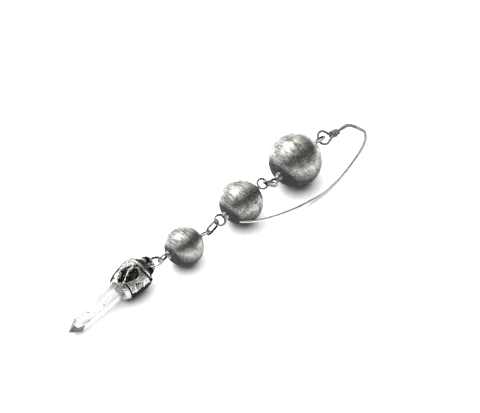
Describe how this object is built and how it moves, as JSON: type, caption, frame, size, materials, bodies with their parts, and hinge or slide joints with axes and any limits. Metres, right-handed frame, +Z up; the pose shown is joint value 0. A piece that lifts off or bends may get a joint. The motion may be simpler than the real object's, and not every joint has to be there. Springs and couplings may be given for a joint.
{
  "type": "drop earring",
  "caption": "Long drop earring: a wrapped ear wire, hollow metal balls that shrink down the drop, wire links, and a cast skull cap holding a pointed quartz crystal.",
  "frame": {"origin": "centre of the bounding box's base, on the surface that the earring lies on", "axes": "+X along the drop towards the ear wire, +Z up from the surface that it lies on"},
  "size_m": [0.1166, 0.0188, 0.016],
  "materials": {
    "wire_silver": "drawn silver wire, dark near the wrap and bright at the tip",
    "satin_silver": "satin silver with fine crossed scratches",
    "oxidised_silver": "oxidised silver wire, worn bright on its high places",
    "cast_silver": "cast silver, polished on the high places and oxidised in the recesses",
    "quartz": "clear natural quartz",
    "clear_resin": "clear set adhesive"
  },
  "bodies": {
    "ear_wire": {"ear_wire": "wire_silver"},
    "big_ball": {"big_ball_upper_shell": "satin_silver", "big_ball_lower_shell": "satin_silver", "big_ball_top_eyelet": "oxidised_silver", "big_ball_bottom_eyelet": "oxidised_silver"},
    "upper_jump_ring": {"upper_jump_ring": "oxidised_silver"},
    "medium_ball": {"medium_ball_upper_shell": "satin_silver", "medium_ball_lower_shell": "satin_silver", "medium_ball_top_eyelet": "oxidised_silver", "medium_ball_bottom_eyelet": "oxidised_silver"},
    "oval_link": {"oval_link": "oxidised_silver"},
    "small_ball": {"small_ball_upper_shell": "satin_silver", "small_ball_lower_shell": "satin_silver", "small_ball_top_eyelet": "oxidised_silver", "small_ball_bottom_eyelet": "oxidised_silver"},
    "lower_jump_ring": {"lower_jump_ring": "cast_silver"},
    "pendant": {"skull_cap": "cast_silver", "crystal_point": "quartz", "resin_bed": "clear_resin"}
  },
  "joints": [
    {"name": "ear_wire_swing", "type": "hinge", "parent": "ear_wire", "child": "big_ball", "pos_m": [0.04175, 0.00156, 0.00866], "axis": [-0.074, -0.7603, -0.6453], "range_deg": [0, 100]},
    {"name": "big_eyelet_swing", "type": "hinge", "parent": "big_ball", "child": "upper_jump_ring", "pos_m": [0.01913, 0.00026, 0.00756], "axis": [-0.326, -0.8979, 0.296], "range_deg": [-45, 10]},
    {"name": "upper_ring_swing", "type": "hinge", "parent": "upper_jump_ring", "child": "medium_ball", "pos_m": [0.01935, 0.00269, 0.0064], "axis": [-0.4479, -0.153, 0.8809], "range_deg": [-60, 0]},
    {"name": "medium_eyelet_swing", "type": "hinge", "parent": "medium_ball", "child": "oval_link", "pos_m": [-0.00181, 0.0016, 0.00548], "axis": [0.063, -0.8642, -0.4991], "range_deg": [-25, 70]},
    {"name": "oval_link_swing", "type": "hinge", "parent": "oval_link", "child": "small_ball", "pos_m": [-0.00608, 0.00094, 0.0052], "axis": [0.082, -0.104, -0.9912], "range_deg": [-10, 55]},
    {"name": "small_eyelet_swing", "type": "hinge", "parent": "small_ball", "child": "lower_jump_ring", "pos_m": [-0.024, 0.00255, 0.00616], "axis": [0.017, -0.242, 0.9701], "range_deg": [-50, 45]},
    {"name": "bail_swing", "type": "hinge", "parent": "lower_jump_ring", "child": "pendant", "pos_m": [-0.02734, 0.00388, 0.00571], "axis": [-0.3882, -0.8805, 0.2721], "range_deg": [-60, 75]}
  ]
}
